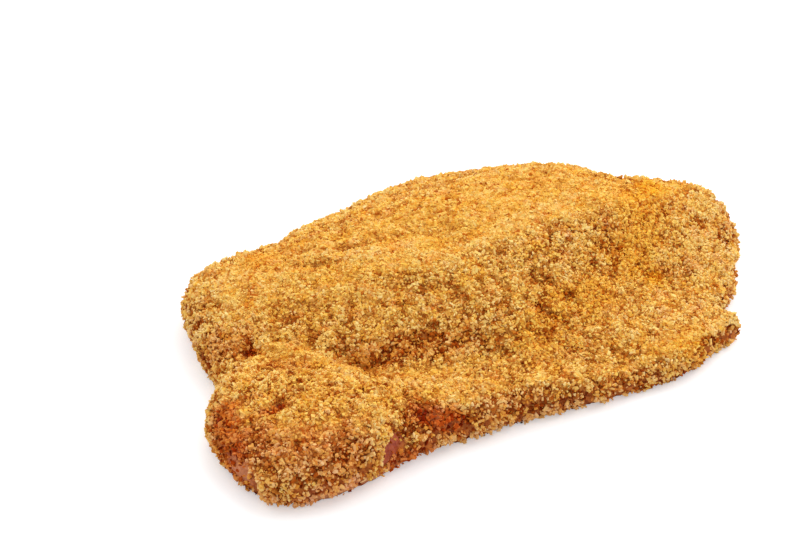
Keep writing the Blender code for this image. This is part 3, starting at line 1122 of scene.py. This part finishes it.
@dataclass
class ScatterNodes:
    """The node tree that scatters one kind of crumb over the core and makes it mesh."""

    kind: CrumbKind
    chips: bpy.types.Collection
    density: float
    material: bpy.types.Material
    graph: Graph = field(init=False)
    spare_cells: float = 1.12
    small_share: float = 1.6

    def build(self) -> bpy.types.GeometryNodeTree:
        """Make the node tree.

        Returns:
            The finished tree, with one geometry input and one output.
        """
        tree = bpy.data.node_groups.new(f"scatter_{self.kind.name}", "GeometryNodeTree")
        tree.interface.new_socket("Core", in_out="INPUT", socket_type="NodeSocketGeometry")
        tree.interface.new_socket("Crumbs", in_out="OUTPUT", socket_type="NodeSocketGeometry")
        self.graph = Graph(tree)
        start = self.graph.add("NodeGroupInput")
        end = self.graph.add("NodeGroupOutput")
        crumbs = self.place(*self.spread(start.outputs[0]))
        crumbs = self.store(crumbs, "tone", "FLOAT", "INSTANCE", self.chance(0.0, 1.0, Draw.TONE))
        number = self.graph.add("GeometryNodeInputIndex").outputs[0]
        crumbs = self.store(crumbs, "crumb", "INT", "INSTANCE", number)
        solid = self.graph.add("GeometryNodeRealizeInstances", None, Geometry=crumbs).outputs[0]
        mesh = self.lay_out(self.rest_on_floor(solid))
        dressed = self.graph.add("GeometryNodeSetMaterial", None, Geometry=mesh,
                                 Material=self.material)
        tree.links.new(dressed.outputs[0], end.inputs[0])
        return tree

    def spread(self, core: Socket) -> tuple[Socket, Socket]:
        """Spread points over the core as its spread mask says, each lifted a little.

        Args:
            core: The core's geometry socket.

        Returns:
            The points' geometry socket, and the turn that stands each point upright on the core.
        """
        amount = self.graph.math("MULTIPLY", self.read("spread", "FLOAT"), self.density)
        spread = self.graph.add("GeometryNodeDistributePointsOnFaces",
                                {"distribute_method": "RANDOM"},
                                Mesh=core, Density=amount, Seed=self.kind.seed)
        low, high = self.kind.lift
        height = self.graph.math("MULTIPLY_ADD", self.read("loose", "FLOAT"), self.kind.proud * MM,
                                 self.chance(low * MM, high * MM, Draw.LIFT))
        lift = self.graph.add("ShaderNodeVectorMath", {"operation": "SCALE"},
                              Vector=spread.outputs["Normal"], Scale=height)
        raised = self.graph.add("GeometryNodeSetPosition", None, Geometry=spread.outputs["Points"],
                                Offset=lift.outputs[0])
        return raised.outputs[0], spread.outputs["Rotation"]

    def place(self, points: Socket, upright: Socket) -> Socket:
        """Put a crumb on every point, picked, turned and sized by chance.

        Args:
            points: The points' geometry socket.
            upright: The turn that stands each point upright on the core.

        Returns:
            The crumbs' geometry socket.
        """
        source = self.graph.add("GeometryNodeCollectionInfo", None, Collection=self.chips,
                                Separate_Children=True, Reset_Children=True)
        dice = self.graph.add("FunctionNodeRandomValue", {"data_type": "FLOAT_VECTOR"},
                              Seed=self.kind.seed + Draw.TURN)
        pick_socket(dice.inputs, "Min", "VECTOR").default_value = (-math.pi, -math.pi, -math.pi)
        pick_socket(dice.inputs, "Max", "VECTOR").default_value = (math.pi, math.pi, math.pi)
        lean = self.graph.span(self.read("loose", "FLOAT"), 0.0, 1.0, self.kind.lean, 1.0)
        limit = self.graph.add("ShaderNodeCombineXYZ", None, X=lean, Y=lean, Z=1.0).outputs[0]
        held = self.combine("MULTIPLY", pick_socket(dice.outputs, "Value", "VECTOR"), limit)
        turn = self.graph.add("FunctionNodeRotateRotation", {"rotation_space": "LOCAL"},
                              Rotation=upright, Rotate_By=held)
        small, large = self.kind.size
        share = self.graph.math("POWER", self.chance(0.0, 1.0, Draw.SIZE), self.small_share)
        size = self.graph.math("ADD", self.graph.math("MULTIPLY", share, large - small), small)
        return self.graph.add("GeometryNodeInstanceOnPoints", None, Points=points,
                              Instance=source.outputs[0], Pick_Instance=True,
                              Rotation=turn.outputs[0], Scale=size).outputs[0]

    def rest_on_floor(self, crumbs: Socket) -> Socket:
        """Flatten what would reach under the slab's resting face.

        Args:
            crumbs: The crumbs' geometry socket.

        Returns:
            The flattened crumbs' geometry socket.
        """
        where = self.graph.add("GeometryNodeInputPosition").outputs[0]
        apart = self.graph.add("ShaderNodeSeparateXYZ", None, Vector=where)
        height = self.graph.math("MAXIMUM", apart.outputs["Z"], 0.0)
        joined = self.graph.add("ShaderNodeCombineXYZ", None, X=apart.outputs["X"],
                                Y=apart.outputs["Y"], Z=height).outputs[0]
        return self.graph.add("GeometryNodeSetPosition", None, Geometry=crumbs,
                              Position=joined).outputs[0]

    def lay_out(self, crumbs: Socket) -> Socket:
        """Give every crumb a cell of its own on one square map.

        Args:
            crumbs: The crumbs' geometry socket.

        Returns:
            The same geometry with its map stored.
        """
        across = float(math.ceil(math.sqrt(self.kind.count * self.spare_cells)))
        number = self.read("crumb", "INT")
        column = self.graph.math("MODULO", number, across)
        row = self.graph.math("FLOOR", self.graph.math("DIVIDE", number, across))
        cell = self.graph.add("ShaderNodeCombineXYZ", None, X=column, Y=row).outputs[0]
        place = self.combine("ADD", cell, self.read(CELL_MAP, "FLOAT_VECTOR"))
        fit = self.graph.add("ShaderNodeVectorMath", {"operation": "SCALE"}, Vector=place,
                             Scale=1.0 / across)
        mapped = self.store(crumbs, BAKE_MAP, "FLOAT2", "CORNER", fit.outputs[0])
        for name in (CELL_MAP, "crumb", "spread", "thin", "bare", "under"):
            mapped = self.graph.add("GeometryNodeRemoveAttribute", None, Geometry=mapped,
                                    Name=name).outputs[0]
        return mapped

    def combine(self, operation: str, first: Socket, second: Socket) -> Socket:
        """Return the result of a sum of two vectors.

        Args:
            operation: The kind of sum.
            first: The first vector's socket.
            second: The second vector's socket.

        Returns:
            The result's socket.
        """
        node = self.graph.add("ShaderNodeVectorMath", {"operation": operation})
        self.graph.feed(node.inputs[0], first)
        self.graph.feed(node.inputs[1], second)
        return node.outputs[0]

    def chance(self, low: float, high: float, draw: Draw) -> Socket:
        """Return a number for each crumb, drawn evenly between two limits.

        Args:
            low: The least value.
            high: The greatest value.
            draw: What the number is for.

        Returns:
            The random number's socket.
        """
        dice = self.graph.add("FunctionNodeRandomValue", {"data_type": "FLOAT"},
                              Seed=self.kind.seed + draw)
        pick_socket(dice.inputs, "Min", "VALUE").default_value = low
        pick_socket(dice.inputs, "Max", "VALUE").default_value = high
        return pick_socket(dice.outputs, "Value", "VALUE")

    def read(self, name: str, kind: str) -> Socket:
        """Return the socket of a stored attribute.

        Args:
            name: The attribute's name.
            kind: Its data type.

        Returns:
            The attribute's value socket.
        """
        node = self.graph.add("GeometryNodeInputNamedAttribute", {"data_type": kind}, Name=name)
        return next(out for out in node.outputs if out.name == "Attribute" and out.enabled)

    def store(self, geometry: Socket, name: str, kind: str, domain: str, value: Socket) -> Socket:
        """Store a field under a name.

        Args:
            geometry: The geometry's socket.
            name: The attribute's name.
            kind: Its data type.
            domain: Where it is kept.
            value: The field's socket.

        Returns:
            The geometry's socket.
        """
        return self.graph.add("GeometryNodeStoreNamedAttribute",
                              {"data_type": kind, "domain": domain},
                              Geometry=geometry, Name=name, Value=value).outputs[0]


@dataclass
class CrumbSkin:
    """The look that all the crumbs share: one node group, placed in each kind's own material.

    Sizes are in metres. Each "from" is where that effect starts and where it is full.
    """

    # The crumbs' look paints shade on the sides and in low places, and light on the slopes.
    name: str = "crumb_skin"
    patch_size: float = 0.0045
    calm_top: float = 0.07
    # Painted light: how much lighter the crumbs on slopes are made.
    dry_slopes: float = 0.27
    flat_hollows: float = 0.15
    yolk_patches: float = 0.50
    stain_patches: float = 0.35
    tone_from: Spot = (0.2, 0.8)
    patch_from: Spot = (0.32, 0.68)
    speck_from: Spot = (0.3, 0.7)
    yolk_from: Spot = (0.48, 0.66)
    stain_from: Spot = (0.52, 0.70)
    speck_size: float = 0.0007
    bump: float = 0.00006
    bump_strength: float = 0.5
    uneven_roughness: float = 0.12

    def material(self, kind: CrumbKind) -> bpy.types.Material:
        """Make the material of one kind of crumb.

        Args:
            kind: The kind of crumb, with its finish.

        Returns:
            The finished material.
        """
        finish = kind.finish
        material = bpy.data.materials.new(kind.name)
        material.use_nodes = True
        graph = Graph(material.node_tree)
        shader = material.node_tree.nodes["Principled BSDF"]
        group = bpy.data.node_groups.get(self.name) or self.build()
        given = {item.name.title(): getattr(finish, item.name) for item in GROUP_FIELDS}
        skin = graph.add("ShaderNodeGroup", {"node_tree": group}, **given)
        graph.feed(shader.inputs["Base Color"], skin.outputs["Colour"])
        graph.feed(shader.inputs["Roughness"], skin.outputs["Roughness"])
        shader.inputs["Specular IOR Level"].default_value = finish.gloss
        bump = graph.add("ShaderNodeBump", None, Strength=self.bump_strength, Distance=self.bump,
                         Height=skin.outputs["Height"])
        graph.feed(shader.inputs["Normal"], bump.outputs["Normal"])
        return material

    def build(self) -> bpy.types.ShaderNodeTree:
        """Make the shared node group.

        Returns:
            The group, which puts out a colour, a roughness and a height.
        """
        tree = bpy.data.node_groups.new(self.name, "ShaderNodeTree")
        for item in GROUP_FIELDS:
            kind = "Color" if item.type == Colour else "Float"
            tree.interface.new_socket(item.name.title().replace("_", " "), in_out="INPUT",
                                      socket_type=f"NodeSocket{kind}")
        for name, kind in (("Colour", "Color"), ("Roughness", "Float"), ("Height", "Float")):
            tree.interface.new_socket(name, in_out="OUTPUT", socket_type=f"NodeSocket{kind}")
        graph = Graph(tree)
        given = graph.add("NodeGroupInput").outputs
        end = graph.add("NodeGroupOutput")
        where = graph.add("ShaderNodeTexCoord").outputs["Object"]
        patches = graph.noise(where, 1.0 / self.patch_size, 2.0)
        specks = graph.noise(where, 1.0 / self.speck_size, 2.0)
        each = graph.span(graph.mask("tone"), *self.tone_from, -0.5, 0.5)
        patch = graph.span(patches.outputs["Fac"], *self.patch_from, -0.5, 0.5)
        speck = graph.span(specks.outputs["Fac"], *self.speck_from, -0.5, 0.5)
        calm = graph.span(graph.mask("loose"), 0.0, 1.0, self.calm_top, 1.0)
        # Lighter by chance and in patches, paler in the pale places, which is partly painted light,
        # and painted light on the slopes.
        lighter = graph.total((graph.math("MULTIPLY", each, calm), given["Each"]),
                              (patch, given["Patches"]), (speck, given["Mottle"]),
                              (graph.mask("pale"), given["Paling"]),
                              (graph.mask("loose"), self.dry_slopes))
        # Painted shade: crumbs are darker on the sides, in low places and in the places darkened as
        # shade.
        hollow = graph.math("MULTIPLY", graph.math("SUBTRACT", graph.mask("low"), 0.5),
                            graph.math("ADD", calm, self.flat_hollows))
        darker = graph.total((graph.mask("side"), given["Sides"]), (hollow, given["Hollows"]),
                             (graph.mask("toast"), given["Toasting"]))
        tone = graph.math("SUBTRACT", graph.math("ADD", lighter, 0.5), darker)
        colour = graph.blend(graph.span(tone, 0.0, 0.5, 0.0, 1.0), given["Dark"], given["Middle"])
        colour = graph.blend(graph.span(tone, 0.5, 1.0, 0.0, 1.0), colour, given["Light"])
        tints = graph.add("ShaderNodeSeparateColor", None, Color=patches.outputs["Color"])
        yolk = graph.span(tints.outputs["Green"], *self.yolk_from, 0.0, self.yolk_patches)
        stain = graph.span(tints.outputs["Blue"], *self.stain_from, 0.0, self.stain_patches)
        rich = graph.math("MAXIMUM", graph.mask("rich"), yolk)
        # The blush is partly meat stain and stain patches, partly painted warm shade.
        blush = graph.math("MAXIMUM", graph.mask("blush"), stain)
        colour = graph.blend(rich, colour, given["Rich Tint"], "MULTIPLY")
        colour = graph.blend(blush, colour, given["Blush Tint"], "MULTIPLY")
        colour = graph.blend(graph.mask("wet"), colour, given["Wet Tint"], "MULTIPLY")
        graph.feed(end.inputs["Colour"], colour)
        rough = graph.blend_values(graph.mask("wet"), given["Roughness"], given["Wet Roughness"])
        rough = graph.math("MULTIPLY_ADD", specks.outputs["Fac"], self.uneven_roughness, rough)
        graph.feed(end.inputs["Roughness"], rough)
        graph.feed(end.inputs["Height"], specks.outputs["Fac"])
        return tree


# ---------------------------------------------------------------- the studio


@dataclass(frozen=True)
class Lamp:
    """One large soft light: where it hangs, how wide it is in metres and how strong it is."""

    name: str
    place: Point
    size: float
    energy: float


LAMPS: tuple[Lamp, ...] = (
    Lamp("key", (0.88, 0.02, 0.88), 1.4, 11.1),
    Lamp("rear", (0.02, 0.88, 0.88), 1.4, 5.2),
)


@dataclass
class Studio:
    """The floor, the lights and the camera. Lengths are in metres and angles in degrees."""

    floor_size: float = 8.0
    floor_drop: float = 0.0002
    turn: float = 45.0
    look_down: float = 35.0
    distance: float = 0.648
    aim: Spot = (0.00744, 0.03117)
    lens: float = 100.0
    sensor: float = 36.0
    lamps: tuple[Lamp, ...] = LAMPS
    fill: float = 0.655
    floor_glow: float = 0.37
    floor_colour: Colour = (0.85, 0.85, 0.86)
    floor_roughness: float = 0.9

    def build(self) -> None:
        """Put the floor, the lights and the camera in place."""
        self.build_floor()
        self.build_lights()
        self.build_camera()

    def build_floor(self) -> None:
        """Lay a plain pale floor just under the slab."""
        deselect_all()
        bpy.ops.mesh.primitive_plane_add(size=self.floor_size, location=(0, 0, -self.floor_drop))
        floor = bpy.context.object
        floor.name = "floor"
        material = bpy.data.materials.new("pale_floor")
        material.use_nodes = True
        shader = material.node_tree.nodes["Principled BSDF"]
        shader.inputs["Base Color"].default_value = (*self.floor_colour, 1.0)
        shader.inputs["Roughness"].default_value = self.floor_roughness
        shader.inputs["Emission Color"].default_value = (1.0, 1.0, 1.0, 1.0)
        graph = Graph(material.node_tree)
        seen = graph.add("ShaderNodeLightPath").outputs["Is Camera Ray"]
        glow = graph.math("MULTIPLY", seen, self.floor_glow)
        graph.feed(shader.inputs["Emission Strength"], glow)
        floor.data.materials.append(material)

    def build_lights(self) -> None:
        """Hang the large soft lights and fill the rest with a pale sky."""
        scene = bpy.context.scene
        for lamp in self.lamps:
            light = bpy.data.lights.new(lamp.name, "AREA")
            light.energy = lamp.energy
            light.size = lamp.size
            holder = bpy.data.objects.new(lamp.name, light)
            scene.collection.objects.link(holder)
            holder.location = lamp.place
            holder.rotation_euler = (-Vector(lamp.place)).to_track_quat("-Z", "Y").to_euler()
        world = bpy.data.worlds.new("pale_sky")
        world.use_nodes = True
        sky = world.node_tree.nodes["Background"]
        sky.inputs["Color"].default_value = (1.0, 1.0, 1.0, 1.0)
        sky.inputs["Strength"].default_value = self.fill
        scene.world = world
        scene.view_settings.view_transform = "Standard"

    def build_camera(self) -> None:
        """Stand the camera in front of the slab's cleft, looking down at it."""
        turn, drop = math.radians(self.turn), math.radians(self.look_down)
        level = math.cos(drop)
        ahead = Vector((math.cos(turn) * level, math.sin(turn) * level, -math.sin(drop)))
        lens = bpy.data.cameras.new("camera")
        lens.lens = self.lens
        lens.sensor_width = self.sensor
        camera = bpy.data.objects.new("camera", lens)
        bpy.context.scene.collection.objects.link(camera)
        stand = Matrix.Translation(Vector((*self.aim, 0.0)) - ahead * self.distance)
        camera.matrix_world = stand @ ahead.to_track_quat("-Z", "Y").to_matrix().to_4x4()
        bpy.context.scene.camera = camera


# ---------------------------------------------------------------- main


def main() -> None:
    """Build the core, its crumbs and the studio, and report each piece."""
    logging.basicConfig(level=logging.INFO, format="%(name)s %(message)s")
    core = MeatCore().build()
    for piece in CrumbCoat(core).build():
        LOG.info("%s is in place", piece.name)
    Studio().build()


if __name__ == "__main__":
    main()
